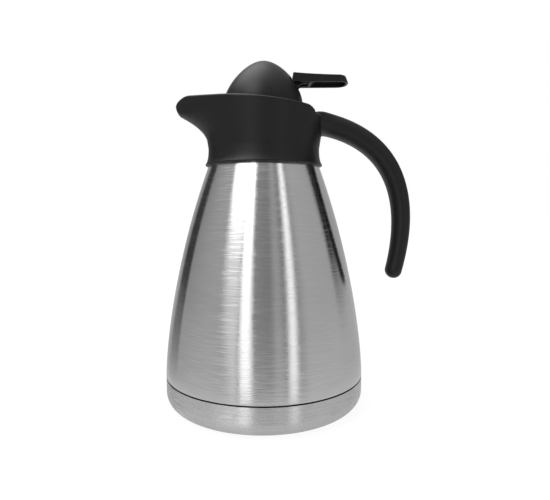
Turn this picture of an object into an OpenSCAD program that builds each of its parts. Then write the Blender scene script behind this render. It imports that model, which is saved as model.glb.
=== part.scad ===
// Insulated steel jug with a moulded pouring collar, a hook handle and a domed stopper
// that screws into the neck and carries a thumb lever and a spring-loaded valve.
// Origin at the centre of the base on the table, Z up, handle towards +X, spout towards -X.

/* [Vessel] */
// Largest radius of the steel body
body_r = 71; // [69:0.25:74]
// Height of the seam between the body and the base cup
seam_z = 22.3; // [20:0.1:26]
// Height at which the tapered wall ends under the collar
wall_top_z = 172; // [168:0.5:180]
// Radius of the tapered wall at its top
wall_top_r = 39.2; // [38.7:0.05:39.3]
// Radius that the belly of the wall is drawn towards
belly_r = 67; // [64:0.25:69]
// Height that the belly of the wall is drawn towards
belly_z = 96; // [88:0.5:104]
// Thickness of the steel walls
steel_t = 0.8; // [0.6:0.05:1]
// Vacuum gap between the outer shell and the flask
vacuum_gap = 4.6; // [4:0.1:6]
// Radius of the rounded shoulder above the tapered wall
shoulder_r = 5; // [4:0.1:5.5]
// Outer radius of the steel neck
neck_r = 28.6; // [28.4:0.05:28.8]
// Height of the neck's lip above the tapered wall
lip_h = 27.2; // [26:0.1:28]
// Vacuum gap in the neck
neck_gap = 1.5; // [1.2:0.05:1.6]
// Height of the flask's floor above the table
flask_floor_z = 17; // [16:0.1:19]

/* [Base] */
// Radius of the rounded corner under the base cup
base_corner_r = 11; // [9:0.25:13]
// Gap that shows as the dark seam line
seam_gap = 0.5; // [0.3:0.05:0.8]
// Width of the cup's flat rim round the foot pad
foot_rim = 4; // [3:0.25:8]
// Thickness of the foot pad
foot_t = 2.2; // [1.6:0.1:3]
// How far the foot pad stands below the base cup
foot_proud = 0.6; // [0.4:0.05:1]
// Radius of the sealing button in the vessel's bottom
button_r = 9; // [6:0.25:14]
// Thickness of the sealing button
button_t = 1.6; // [1:0.1:2.4]

/* [Collar] */
// Radius of the collar's waist
waist_r = 39.5; // [39.2:0.05:40]
// Height of the waist above the collar's lower edge
waist_h = 12; // [10:0.25:14]
// Radius of the collar's lower edge
hem_r = 41.7; // [41.2:0.05:43]
// How far the collar's lower edge reaches down over the wall
collar_lap = 0.9; // [0.6:0.05:1.5]
// Extra radius of the collar at its rim
rim_flare = 3.8; // [3.2:0.1:4.4]
// Height of the rim above the lower edge, at the handle
rim_h = 37.5; // [36.8:0.1:40]
// How much higher the rim stands beside the spout
rim_rise = 11; // [8:0.25:12]
// How far the rim drops again at the spout's lip
lip_drop = 5.9; // [4:0.1:7]
// Reach of the spout's lip from the axis
spout_reach = 62.5; // [58:0.25:66]
// Radius of the spout's lip in plan
spout_r = 11; // [9:0.25:13]
// Height of the spout's lower corner above the collar's lower edge
spout_corner_h = 35; // [33.5:0.25:36]
// Thickness of the collar's wall
collar_t = 2.6; // [2.2:0.05:2.8]
// Thickness of the ledge on the neck
ledge_t = 3; // [2.6:0.1:3.4]
// Inner radius of the ledge
ledge_bore_r = 25.8; // [25.6:0.05:26]
// Distance from the axis to the flat seat of the handle
seat_x = 34.2; // [33.8:0.1:34.8]

/* [Neck fittings] */
// Thickness of the gasket on the lip
gasket_t = 1.2; // [0.9:0.05:1.6]
// Outer radius of the threaded sleeve
sleeve_r = 25.2; // [25:0.05:25.3]
// Wall thickness of the threaded sleeve
sleeve_t = 2.4; // [2.2:0.05:2.6]
// Depth of the sleeve below its flange
sleeve_depth = 17; // [14:0.25:19]
// Thickness of the sleeve's flange
flange_t = 2; // [1.6:0.1:2.4]
// Outer radius of the sleeve's flange
flange_r = 28; // [27.6:0.1:29]
// Thickness of the seal ring under the stopper
seal_t = 1.5; // [1.2:0.1:2]

/* [Thread] */
// Rise of the stopper in one turn
lead = 6; // [5.5:0.1:7]
// Width of a thread ridge
ridge_w = 2; // [1.6:0.1:2.2]
// Height of a thread ridge
ridge_h = 1; // [0.9:0.05:1.1]
// Turns of thread on the stopper
stopper_turns = 1.5; // [1:0.25:1.5]

/* [Stopper] */
// Inner radius of the stopper's tube
tube_r = 17.6; // [16.5:0.1:18]
// Wall thickness of the stopper's tube
tube_t = 3; // [2.6:0.1:3.2]
// Depth of the stopper's tube below its flange
tube_depth = 27; // [25:0.25:30]
// Thickness of the floor at the bottom of the tube
tube_floor_t = 2.5; // [2:0.1:3]
// Radius of the valve opening in the floor
port_r = 11; // [9:0.25:12]
// Height of the pouring windows under the dome
window_h = 3.5; // [3:0.1:4.5]
// Number of posts between the pouring windows
posts = 6; // [4:1:10]
// Radius of the dome at its foot
dome_r = 28.8; // [28:0.1:29.4]
// Height of the dome
dome_h = 32.7; // [31:0.1:34]
// Half width of the flat-topped middle that the dome's curve is drawn from
dome_crown_r = 12.2; // [10:0.1:14]
// Wall thickness of the dome
dome_t = 2.2; // [1.8:0.1:2.4]
// Half width of the slot in the dome
slot_half_w = 10.7; // [10.2:0.1:11.2]
// Distance from the axis to the front of the slot
slot_x = 19.4; // [18.8:0.1:20]
// Thickness of the guide in the stopper's tube
guide_t = 3; // [2.4:0.1:4]

/* [Lever] */
// Half width of the thumb plate
lever_half_w = 9.2; // [8.6:0.1:9.6]
// Distance from the axis to the end of the thumb plate
lever_reach = 60; // [54:0.5:64]
// Distance from the axis to the front of the thumb plate
lever_front_x = 20.4; // [20.2:0.1:21]
// Height of the thumb plate's side walls
lever_h = 4.8; // [4.2:0.1:5.6]
// Extra height of the thumb plate at its front
lever_hump = 1.5; // [0:0.1:2]
// Wall thickness of the thumb plate
lever_t = 2; // [1.6:0.1:2.4]
// Distance from the axis to the lever's pin
pin_x = 13.4; // [12.5:0.1:14]
// Height of the lever's pin above the dome's foot
pin_h = 14.5; // [13.5:0.1:15]
// Height of the thumb plate above the dome's foot
plate_lift = 17; // [16.6:0.1:17.4]
// Radius of the thumb plate's corners
plate_corner_r = 4.5; // [3:0.25:6]
// Distance from the plate's front to the hollow under it
hollow_start = 13; // [10:0.25:16]
// Length of the gusset between the plate and its arm
gusset = 6.4; // [5:0.2:8]
// Length of the raised front of the plate
hump_length = 8; // [6:0.5:12]
// Length of the level rear part of the plate
level_length = 20; // [14:0.5:24]
// How far the arm reaches past the axis
arm_overrun = 5; // [4:0.25:6]
// Radius of the lever's pin
pin_r = 1.5; // [1.2:0.05:1.8]
// Running clearance of the pin and of the valve stem, on the radius
run_gap = 0.05; // [0.02:0.01:0.08]

/* [Valve] */
// Radius of the valve disc
disc_r = 15.4; // [14:0.1:15.8]
// Thickness of the valve disc
disc_t = 2; // [1.6:0.1:2.6]
// Radius of the valve stem
stem_r = 2.5; // [2:0.1:2.8]
// Radius of the button on top of the stem
stem_head_r = 5; // [4.4:0.1:5.4]
// Thickness of the button on top of the stem
stem_head_t = 2.4; // [2:0.1:3]
// Radius of the spring's coils to the middle of the wire
spring_r = 5.6; // [5:0.1:6.5]
// Radius of the spring's wire
wire_r = 0.6; // [0.5:0.05:0.7]
// Number of coils in the spring
coils = 4; // [3:1:5]

/* [Handle] */
// Distance from the axis to the end of the handle's centre line
grip_end_x = 95; // [92:0.5:97]
// Height of the end of the handle's centre line
grip_end_z = 96; // [88:0.5:110]
// Outward pull of the handle's curve at the top
grip_pull_x = 96.4; // [92:0.2:100]
// Outward pull of the handle's curve in the lower half
grip_belly_x = 108.3; // [106:0.1:112]
// Height of the pull in the lower half
grip_belly_z = 147.7; // [142:0.2:154]
// Thickness of the handle at its root
grip_root_t = 16; // [15:0.1:17]
// Thickness of the handle at its end
grip_end_t = 11.6; // [10:0.1:13]
// Half width of the handle at its root
grip_root_w = 11.5; // [10:0.1:13]
// Half width of the handle at its end
grip_end_w = 7.6; // [6:0.1:9]
// Sideways offset of the handle's two screws
screw_y = 7; // [6:0.1:8]
// Radius of the handle's screws
screw_r = 1.5; // [1.2:0.05:1.7]

/* [Hidden] */
$fn = 96;
far = 200;
cut = 0.2;
fit = 0.3;

PLASTIC = [0.16, 0.16, 0.165];
STEEL = [0.72, 0.72, 0.73];
RUBBER = [0.08, 0.08, 0.08];
SILICONE = [0.85, 0.84, 0.8];

// Heights of the stack above the tapered wall
lip_z = wall_top_z + lip_h;
ledge_z = lip_z + gasket_t;
trough_z = ledge_z + ledge_t;
sleeve_top_z = trough_z + flange_t;
flange_z = sleeve_top_z + seal_t;
crown_z = flange_z + flange_t;
dome_z = crown_z + window_h;
dome_top_z = dome_z + dome_h;
collar_z = wall_top_z - collar_lap;
rim_z = collar_z + rim_h;
waist_z = collar_z + waist_h;
tube_z = flange_z - tube_depth;
// The vessel's welded bottom lies just above the base cup's rounded corner
pan_z = foot_proud + base_corner_r + 0.8;
foot_r = body_r - base_corner_r - foot_rim;
valve_seat_z = tube_z + tube_floor_t;

function unit(v) = v / norm(v);
function left_of(a, b) = let (d = unit(b - a)) [-d[1], d[0]];
// A cubic curve through its first and last points, drawn towards the two between
function curve(a, b, c, d, n) = [for (i = [0:n]) let (t = i / n, s = 1 - t)
    s * s * s * a + 3 * s * s * t * b + 3 * s * t * t * c + t * t * t * d];
function arc(x, y, r, from, to, n) = [for (i = [0:n]) let (a = from + (to - from) * i / n)
    [x + r * cos(a), y + r * sin(a)]];
function reversed(p) = [for (i = [len(p) - 1:-1:0]) p[i]];
// The same path moved sideways by t, with mitred corners
function beside(p, t) = [for (i = [0:len(p) - 1]) let (
    last = len(p) - 2,
    m = left_of(p[max(i - 1, 0)], p[max(i - 1, 0) + 1]),
    n = left_of(p[min(i, last)], p[min(i, last) + 1]),
    s = unit(m + n)) p[i] + s * t / (m * s)];
function band(p, t) = concat(p, reversed(beside(p, t)));

module turned(p) { rotate_extrude() polygon(p); }
module ring(r_out, r_in, z, h) {
    translate([0, 0, z]) difference() {
        cylinder(r = r_out, h = h);
        translate([0, 0, -cut]) cylinder(r = r_in, h = h + 2 * cut);
    }
}

// Skin over a list of rings that all hold the same number of points
module skin(rings, closed) {
    n = len(rings[0]);
    m = len(rings);
    bands = closed ? m : m - 1;
    points = [for (r = rings) each r];
    sides = [for (j = [0:bands - 1], i = [0:n - 1]) let (
        k = (j + 1) % m, l = (i + 1) % n,
        a = j * n + i, b = j * n + l, c = k * n + l, d = k * n + i) each [[a, b, c], [a, c, d]]];
    caps = closed ? [] : [[for (i = [n - 1:-1:0]) i], [for (i = [0:n - 1]) (m - 1) * n + i]];
    polyhedron(points = points, faces = concat(sides, caps), convexity = 8);
}

// A ridge that climbs one lead in each turn, from radius r_base to radius r_crest
module thread(r_base, r_crest, z_start, turns) {
    steps = ceil(turns * 24);
    half = ridge_w / 2;
    tip = ridge_w / 4;
    outward = r_crest > r_base;
    function at(k) = let (a = 360 * turns * k / steps, z = z_start + lead * turns * k / steps,
        section = [[r_base, -half], [r_crest, -tip], [r_crest, tip], [r_base, half]])
        [for (p = outward ? section : reversed(section)) [p[0] * cos(a), p[0] * sin(a), z + p[1]]];
    skin([for (k = [0:steps]) at(k)], false);
}

// The tapered wall, from the seam to its top
wall_path = curve([body_r, seam_z], [body_r + 0.3, seam_z + 11], [belly_r, belly_z],
                  [wall_top_r, wall_top_z], 16);
shoulder_path = arc(wall_top_r - shoulder_r, wall_top_z, shoulder_r, 15, 90, 5);
neck_foot_r = 2;
shell_top_path = concat(
    shoulder_path,
    [[neck_r + neck_foot_r, wall_top_z + shoulder_r],
     [neck_r, wall_top_z + shoulder_r + neck_foot_r],
     [neck_r, lip_z - steel_t]]);
// The skirt that the base cup is pressed over
skirt_r = body_r - steel_t;
shell_skirt_path = [[skirt_r, pan_z + steel_t], [skirt_r, seam_z - seam_gap]];
shell_path = concat(shell_skirt_path, wall_path, shell_top_path);

module foot_pad() {
    color(RUBBER) difference() {
        cylinder(r = foot_r, h = foot_t);
        translate([0, 0, foot_t - 0.6]) cylinder(r = foot_r - 8, h = 1);
    }
}

base_floor_z = foot_t;
base_path = concat(
    [[0, base_floor_z], [foot_r + fit, base_floor_z], [foot_r + fit, foot_proud],
     [body_r - base_corner_r, foot_proud]],
    arc(body_r - base_corner_r, foot_proud + base_corner_r, base_corner_r, -75, 0, 5),
    [[body_r, seam_z - seam_gap]]);

module base_cup() {
    lower = [for (p = beside(base_path, steel_t)) if (p[1] < seam_z - seam_gap - cut)
        [max(p[0], 0), p[1]]];
    color(STEEL) turned(concat(base_path, [[skirt_r, seam_z - seam_gap]], reversed(lower)));
}

module vessel_bottom() {
    color(STEEL) difference() {
        translate([0, 0, pan_z]) cylinder(r = skirt_r, h = steel_t);
        translate([0, 0, pan_z - cut]) cylinder(r = 2, h = steel_t + 2 * cut);
    }
}

module sealing_button() {
    color(STEEL) translate([0, 0, pan_z - button_t]) cylinder(r = button_r, h = button_t);
}

module outer_shell() { color(STEEL) turned(band(shell_path, steel_t)); }

flask_corner_r = 14;
flask_in = steel_t + vacuum_gap;
flask_wall = [for (p = beside(wall_path, flask_in)) if (p[1] > flask_floor_z + flask_corner_r + 2) p];
flask_foot_r = flask_wall[0][0];
flask_neck_r = neck_r - steel_t - neck_gap;
flask_bore_r = flask_neck_r - steel_t;
flask_path = concat(
    [[0, flask_floor_z]],
    arc(flask_foot_r - flask_corner_r, flask_floor_z + flask_corner_r, flask_corner_r, -90, 0, 6),
    flask_wall,
    [[flask_neck_r + 2.5, wall_top_z - 1], [flask_neck_r, wall_top_z + 2], [flask_neck_r, lip_z]]);

module inner_flask() {
    inner = [for (p = reversed(beside(flask_path, steel_t))) [max(p[0], 0), p[1]]];
    color(STEEL) {
        turned(concat(flask_path, inner));
        ring(neck_r, flask_neck_r - steel_t / 2, lip_z - steel_t, steel_t);
    }
}

module neck_gasket() { color(SILICONE) ring(neck_r - 0.4, ledge_bore_r, lip_z, gasket_t); }

// Plan radius of the collar in the direction a, for a circle r and a lip at the distance x
function plan(a, r, x) = let (
    s = max(0, min(1, (x - r) / (spout_reach - r))),
    q = r + (spout_r - r) * pow(s, 0.6),
    c = x - q,
    psi = abs(((a % 360) + 360) % 360 - 180),
    turn = c > 0.001 ? acos(max(-1, min(1, (r - q) / c))) : 0,
    on_lip = atan2(q * sin(turn), c + q * cos(turn)))
    c <= r - q || psi >= turn ? r
    : psi >= on_lip ? r / cos(turn - psi)
    : c * cos(psi) + sqrt(max(0, q * q - pow(c * sin(psi), 2)));

// Reach of the spout and radius of the round part at the height h above the waist
spout_h = spout_corner_h - waist_h;
function reach(h) = h <= 0 ? waist_r
    : h < spout_h ? waist_r + (spout_reach - 3 - waist_r) * pow(h / spout_h, 2.3)
    : spout_reach - 3 * pow(max(0, 1 - (h - spout_h) / 7), 2);
function round_r(h) = waist_r + rim_flare * max(0, h) / (rim_z - waist_z);
// Rim height in the direction a
function rim_at(a) = let (
    x = plan(a, round_r(rim_z - waist_z), spout_reach) * cos(a),
    u = (waist_r + rim_flare - x) / (waist_r + spout_reach),
    past = max(0, -x - (spout_reach - spout_r)) / spout_r)
    rim_z + rim_rise * pow(u, 1.5) - lip_drop * past * past;

facets = 48;
// Directions of a ring's points, crowded together towards the spout
angles = [for (i = [0:facets - 1]) let (a = -360 * i / facets) a + 40 * sin(a)];
function circle_at(r, z) = [for (a = angles) [r * cos(a), r * sin(a), z]];
// Ring of the collar's outside, a share v of the way from the waist to the rim
function outside_at(v, inset) = [for (a = angles) let (
    z = waist_z + (rim_at(a) - waist_z) * v,
    r = plan(a, round_r(z - waist_z), reach(z - waist_z)) - inset)
    [r * cos(a), r * sin(a), z]];
// Ring of the collar's inside, a share v of the way from the trough's floor to the rim
spout_floor_z = trough_z - 0.15;
function inside_at(v) = [for (a = angles) let (
    z = spout_floor_z + (rim_at(a) - spout_floor_z) * v,
    r = plan(a, round_r(z - waist_z), reach(z - waist_z - collar_t * (1 - v))) - collar_t)
    [r * cos(a), r * sin(a), z]];
inner_r = waist_r - collar_t;
edge_r = wall_top_r + fit;
// Inner radius of the flared wall at the ledge
ledge_wall_r = round_r(ledge_z - waist_z) - collar_t;

module collar_shell() {
    skin(concat(
        [circle_at(hem_r, collar_z), circle_at(hem_r - 0.2, collar_z + 2.4),
         circle_at(waist_r + 0.9, collar_z + 6), circle_at(waist_r + 0.15, collar_z + 9)],
        [for (v = [0:0.125:0.75]) outside_at(v, 0)],
        [outside_at(0.88, 0), outside_at(0.96, 0), outside_at(1, 0.7)],
        [inside_at(1), inside_at(0.9), inside_at(0.6), inside_at(0.3), inside_at(0)],
        [circle_at(ledge_wall_r - 0.6, trough_z - 0.6), circle_at(inner_r, waist_z - 1),
         circle_at(edge_r - 1.2, wall_top_z + 1.5), circle_at(edge_r - 1.2, collar_z)]), true);
}

seat_t = 2.4;
// Everything behind the flat seat of the handle, from z_low to z_high
module behind_seat(x, z_low, z_high) {
    translate([x, -far / 2, z_low]) cube([far, far, z_high - z_low]);
}
// Space that the steel wall and shoulder need under the collar
module wall_space() {
    turned(concat([[0, collar_z - 5], [edge_r + 1.5, collar_z - 5], [edge_r + 0.2, collar_z],
                   [edge_r, wall_top_z]],
        arc(wall_top_r - shoulder_r, wall_top_z, shoulder_r + fit, 15, 90, 5),
        [[neck_r + fit, wall_top_z + shoulder_r + neck_foot_r + fit], [neck_r + fit, ledge_z],
         [0, ledge_z]]));
}

module screw_axes(r, x_from, x_to) {
    for (side = [-1, 1]) translate([x_from, side * screw_y, screw_z])
        rotate([0, 90, 0]) cylinder(r = r, h = x_to - x_from);
}
screw_z = ledge_z - 4;
screw_head_r = 2.6;
screw_head_t = 1.5;
screw_tip_x = 47;

module collar() {
    color(PLASTIC) difference() {
        union() {
            collar_shell();
            ring(ledge_wall_r + 0.7, ledge_bore_r, ledge_z, ledge_t);
            intersection() {
                translate([seat_x - seat_t, -far / 2, collar_z + 0.1])
                    cube([seat_t + 1, far, rim_z - collar_z - 1.5]);
                turned([[0, collar_z], [waist_r - 1, collar_z], [waist_r - 1, waist_z],
                        [waist_r + rim_flare - 1, rim_z], [0, rim_z]]);
            }
        }
        wall_space();
        behind_seat(seat_x, collar_z - 1, far * 2);
        screw_axes(screw_r + run_gap, 0, seat_x + 1);
    }
}

// Outline of the saddle that fills the collar's round behind the seat
saddle_path = [[hem_r, collar_z], [hem_r - 0.2, collar_z + 2.4], [waist_r + 0.9, collar_z + 6],
               [waist_r + 0.15, collar_z + 9], [waist_r, waist_z],
               [waist_r + rim_flare, rim_z - 1.2], [waist_r + rim_flare - 1, rim_z]];
grip_steps = 22;
grip_sides = 16;
grip_path = curve([seat_x + 0.5, rim_z - 5.4], [grip_pull_x, rim_z - 14.6],
                  [grip_belly_x, grip_belly_z], [grip_end_x, grip_end_z], grip_steps);
// Ring of the handle at point i, squeezed by k and moved on by d along the path
function grip_ring(i, k, d) = let (
    n = len(grip_path) - 1,
    along = unit(grip_path[min(i + 1, n)] - grip_path[max(i - 1, 0)]),
    out = [-along[1], along[0]],
    t = i / n,
    root = pow(max(0, 1 - i / 5), 2),
    half_t = k * (grip_root_t * (1 - t) + grip_end_t * t + 3 * root) / 2,
    half_w = k * (grip_root_w * (1 - t) + grip_end_w * t + 4 * root),
    c = grip_path[i] + along * d)
    [for (j = [0:grip_sides - 1]) let (
        a = 360 * j / grip_sides,
        u = sign(cos(a)) * pow(abs(cos(a)), 0.8),
        w = sign(sin(a)) * pow(abs(sin(a)), 0.8))
        [c[0] + out[0] * u * half_t, half_w * w, c[1] + out[1] * u * half_t]];

module grip() {
    skin(concat([for (i = [0:grip_steps]) grip_ring(i, 1, 0)],
        [for (b = [30, 60, 80]) grip_ring(grip_steps, cos(b), grip_end_t / 2 * sin(b))]), false);
}

module handle() {
    color(PLASTIC) difference() {
        union() {
            intersection() {
                turned(concat([[0, collar_z]], saddle_path, [[0, rim_z]]));
                behind_seat(seat_x, collar_z - 1, rim_z);
            }
            intersection() {
                grip();
                behind_seat(seat_x, 0, far * 2);
            }
        }
        wall_space();
        screw_axes(screw_r - 0.1, seat_x - 1, screw_tip_x + 1);
    }
}

module handle_screws() {
    color(STEEL) {
        screw_axes(screw_r - 0.15, seat_x - seat_t - 0.5, screw_tip_x);
        screw_axes(screw_head_r, seat_x - seat_t - screw_head_t, seat_x - seat_t);
    }
}

sleeve_bore_r = sleeve_r - sleeve_t;
sleeve_ridge_r = sleeve_bore_r - ridge_h;
thread_z = sleeve_top_z - sleeve_depth + 3;

module neck_sleeve() {
    color(PLASTIC) {
        ring(sleeve_r, sleeve_bore_r, sleeve_top_z - sleeve_depth, sleeve_depth);
        ring(flange_r, sleeve_bore_r, trough_z, flange_t);
        thread(sleeve_bore_r + cut, sleeve_ridge_r, thread_z, 1);
    }
}

module seal_ring() { color(SILICONE) ring(flange_r - 0.6, sleeve_bore_r + 0.4, sleeve_top_z, seal_t); }

tube_out_r = tube_r + tube_t;
post_r = dome_r - 1.8;
module stopper_body() {
    step_z = flange_z - guide_t;
    color(PLASTIC) {
        turned([[port_r, tube_z], [tube_out_r - 1, tube_z], [tube_out_r, tube_z + 1],
                [tube_out_r, flange_z], [flange_r, flange_z], [flange_r, crown_z],
                [tube_r + 1.2, crown_z], [tube_r + 1.2, step_z], [tube_r, step_z],
                [tube_r, valve_seat_z], [port_r, valve_seat_z]]);
        for (i = [0:posts - 1]) rotate([0, 0, 360 * (i + 0.5) / posts])
            translate([post_r - 2, -2, crown_z - cut]) cube([3, 4, window_h + cut]);
        thread(tube_out_r - cut, tube_out_r + ridge_h, thread_z + lead / 2, stopper_turns);
    }
}

module stem_guide() {
    hub_r = stem_r + 2.2;
    rim_r = tube_r + 1;
    color(PLASTIC) translate([0, 0, flange_z - guide_t]) difference() {
        union() {
            ring(rim_r, rim_r - 2.4, 0, guide_t);
            cylinder(r = hub_r, h = guide_t);
            for (i = [0:2]) rotate([0, 0, 60 + 120 * i])
                translate([stem_r + 1, -1.5, 0]) cube([rim_r - stem_r - 2, 3, guide_t]);
        }
        translate([0, 0, -cut]) cylinder(r = stem_r + run_gap, h = guide_t + 2 * cut);
    }
}

dome_path = curve([0, dome_top_z], [dome_crown_r, dome_top_z],
                  [dome_r + 0.9, dome_top_z - 0.6 * dome_h], [dome_r, dome_z], 14);
pin_z = dome_z + pin_h;
lug_gap = 0.3;
arm_half_w = 5.5;
arm_top = 2.8;
// The arm's window through the dome's wall is a little narrower than the space between the lugs
arm_window_w = arm_half_w + lug_gap - 0.1;
lug_half_w = slot_half_w;
lug_wide = 4.6;

module dome_cap() {
    inner = [for (p = beside(dome_path, -dome_t)) [max(p[0], 0), max(p[1], dome_z)]];
    middle = [for (p = beside(dome_path, -dome_t / 2)) [max(p[0], 0), max(p[1], dome_z)]];
    color(PLASTIC) difference() {
        union() {
            turned(concat(dome_path, reversed(inner)));
            intersection() {
                turned(concat([[0, dome_z]], reversed(middle)));
                for (side = [-1, 1]) translate([pin_x - lug_wide, side > 0 ? arm_half_w + lug_gap
                    : -lug_half_w, pin_z - 4]) cube([2 * lug_wide, lug_half_w - arm_half_w - lug_gap, far]);
            }
        }
        translate([slot_x, -slot_half_w, dome_z - 1]) cube([far, 2 * slot_half_w, far]);
        translate([pin_x, -arm_window_w, dome_z - 1])
            cube([far, 2 * arm_window_w, pin_h + 1 + arm_top + 1.2]);
        translate([pin_x, 0, pin_z]) rotate([90, 0, 0])
            cylinder(r = pin_r, h = 2 * lug_half_w + 2, center = true);
    }
}

module lever_pin() {
    color(STEEL) translate([pin_x, 0, pin_z]) rotate([90, 0, 0])
        cylinder(r = pin_r - 0.01, h = 2 * lug_half_w, center = true);
}

plate_z = dome_z + plate_lift;
plate_top_z = plate_z + lever_h;
button_z = pin_z + 1;
fork_r = 1.3;
fork_gap = stem_r + 0.6;

// Side outline of the lever, as X and Z
module lever_side() {
    polygon(concat(
        [[lever_front_x, plate_top_z + lever_hump], [lever_front_x, pin_z + arm_top],
         [pin_x, pin_z + arm_top], [stem_head_r + 1.2, button_z - 0.2], [0, button_z - 0.2],
         [-fork_r, button_z - 1.2], [-fork_r, button_z - 2.6], [2, button_z - 3.4]],
        [[pin_x - 3, pin_z - 3.2], [pin_x + 2, pin_z - 3.2], [lever_front_x + 3, plate_z - 3.4],
         [lever_front_x + gusset, plate_z]],
        [[lever_reach - 1, plate_z], [lever_reach, plate_z + 1.5], [lever_reach - 1, plate_top_z - 1.2],
         [lever_reach - 2.6, plate_top_z - 0.3], [lever_reach - level_length, plate_top_z + 0.2],
         [lever_front_x + hump_length, plate_top_z + lever_hump * 0.6]]));
}

module lever() {
    tip_r = plate_corner_r;
    x0 = lever_front_x + hollow_start;
    color(PLASTIC) difference() {
        intersection() {
            translate([0, far / 2, 0]) rotate([90, 0, 0]) linear_extrude(height = far) lever_side();
            union() {
                translate([lever_front_x, -lever_half_w, 0])
                    cube([lever_reach - lever_front_x - tip_r, 2 * lever_half_w, far * 2]);
                translate([lever_front_x, tip_r - lever_half_w, 0])
                    cube([lever_reach - lever_front_x, 2 * (lever_half_w - tip_r), far * 2]);
                for (side = [-1, 1]) translate([lever_reach - tip_r, side * (lever_half_w - tip_r), 0])
                    cylinder(r = tip_r, h = far * 2);
                translate([-arm_overrun, -arm_half_w, 0])
                    cube([lever_front_x + arm_overrun + 1, 2 * arm_half_w, far * 2]);
            }
        }
        translate([x0, lever_t - lever_half_w, plate_z - cut])
            cube([lever_reach - lever_t - x0, 2 * (lever_half_w - lever_t), lever_h - lever_t + cut]);
        translate([-arm_overrun - 1, -fork_gap, 0])
            cube([arm_overrun + fork_gap + 2.5, 2 * fork_gap, far * 2]);
        translate([pin_x, 0, pin_z]) rotate([90, 0, 0])
            cylinder(r = pin_r + run_gap, h = far, center = true);
    }
}

valve_seal_t = 1.5;
disc_z = valve_seat_z + valve_seal_t;
disc_top_z = disc_z + disc_t;

module valve_seal() { color(SILICONE) ring(disc_r - 0.4, port_r + 0.6, valve_seat_z, valve_seal_t); }

module valve_disc() {
    color(PLASTIC) difference() {
        union() {
            translate([0, 0, disc_z]) cylinder(r = disc_r, h = disc_t);
            translate([0, 0, disc_z - valve_seal_t]) cylinder(r = port_r, h = valve_seal_t + cut);
        }
        translate([0, 0, disc_z]) cylinder(r = stem_r, h = disc_t + cut);
    }
}

module valve_stem() { color(STEEL) translate([0, 0, disc_z]) cylinder(r = stem_r, h = button_z - disc_z); }

module stem_button() {
    color(PLASTIC)
        translate([0, 0, button_z]) cylinder(r = stem_head_r, h = stem_head_t);
}

// The spring stands between the valve disc and the guide
spring_low_z = disc_top_z + wire_r + 0.02;
spring_high_z = flange_z - guide_t - wire_r - 0.02;

module valve_spring() {
    steps = 16 * coils;
    climb = (spring_high_z - spring_low_z) / steps;
    pitch_angle = atan2(climb, spring_r * 2 * PI / 16);
    function wire_ring(k) = let (
        a = 360 * k / 16,
        out = [cos(a), sin(a), 0],
        up = [sin(a) * sin(pitch_angle), -cos(a) * sin(pitch_angle), cos(pitch_angle)])
        [for (j = [0:5]) spring_r * out + [0, 0, spring_low_z + climb * k]
            + wire_r * (out * cos(60 * j) + up * sin(60 * j))];
    color(STEEL) skin([for (k = [0:steps]) wire_ring(k)], false);
}

foot_pad();
base_cup();
vessel_bottom();
sealing_button();
outer_shell();
inner_flask();
neck_gasket();
collar();
neck_sleeve();
handle();
handle_screws();
seal_ring();
stopper_body();
stem_guide();
dome_cap();
lever_pin();
lever();
valve_disc();
valve_seal();
valve_stem();
stem_button();
valve_spring();
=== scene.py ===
"""Looks of an insulated steel jug: its shells, mouldings and finishes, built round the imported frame."""

from math import acos, atan2, cos, pi, radians, sin, sqrt, tau

import bmesh
import bpy
from bpy.props import FloatProperty, FloatVectorProperty, IntProperty, PointerProperty
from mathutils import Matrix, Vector
from mathutils.geometry import interpolate_bezier


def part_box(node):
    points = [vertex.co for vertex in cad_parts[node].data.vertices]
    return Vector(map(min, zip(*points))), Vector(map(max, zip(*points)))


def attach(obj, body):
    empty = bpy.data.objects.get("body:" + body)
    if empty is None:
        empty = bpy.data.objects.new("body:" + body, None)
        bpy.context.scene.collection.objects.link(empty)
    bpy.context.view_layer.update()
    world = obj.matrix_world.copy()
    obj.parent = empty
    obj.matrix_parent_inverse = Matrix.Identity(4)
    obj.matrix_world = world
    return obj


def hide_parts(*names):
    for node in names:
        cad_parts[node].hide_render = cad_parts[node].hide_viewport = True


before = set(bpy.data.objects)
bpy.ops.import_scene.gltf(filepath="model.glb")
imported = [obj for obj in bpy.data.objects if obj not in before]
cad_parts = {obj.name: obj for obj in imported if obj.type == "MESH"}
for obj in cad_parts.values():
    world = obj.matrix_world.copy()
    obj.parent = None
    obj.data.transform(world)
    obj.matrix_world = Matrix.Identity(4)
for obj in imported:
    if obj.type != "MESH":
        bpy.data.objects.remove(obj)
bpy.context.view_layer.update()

bl_info = {
    "name": "Insulated jug",
    "version": (1, 0, 0),
    "blender": (4, 5, 0),
    "location": "3D View > Sidebar > Jug",
    "description": "Builds the shells, mouldings and finishes of an insulated steel jug",
    "category": "Object",
}

MM = 0.001
CUP_LOW, CUP_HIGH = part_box("base_cup")
SHELL_LOW, SHELL_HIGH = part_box("outer_shell")
COLLAR_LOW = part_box("collar")[0]
SLEEVE_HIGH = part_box("neck_sleeve")[1]
DOME_LOW, DOME_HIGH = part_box("dome_cap")
LEVER_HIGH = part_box("lever")[1]
PIN_LOW, PIN_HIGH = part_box("lever_pin")
FOOT_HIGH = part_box("foot_pad")[1]

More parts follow.
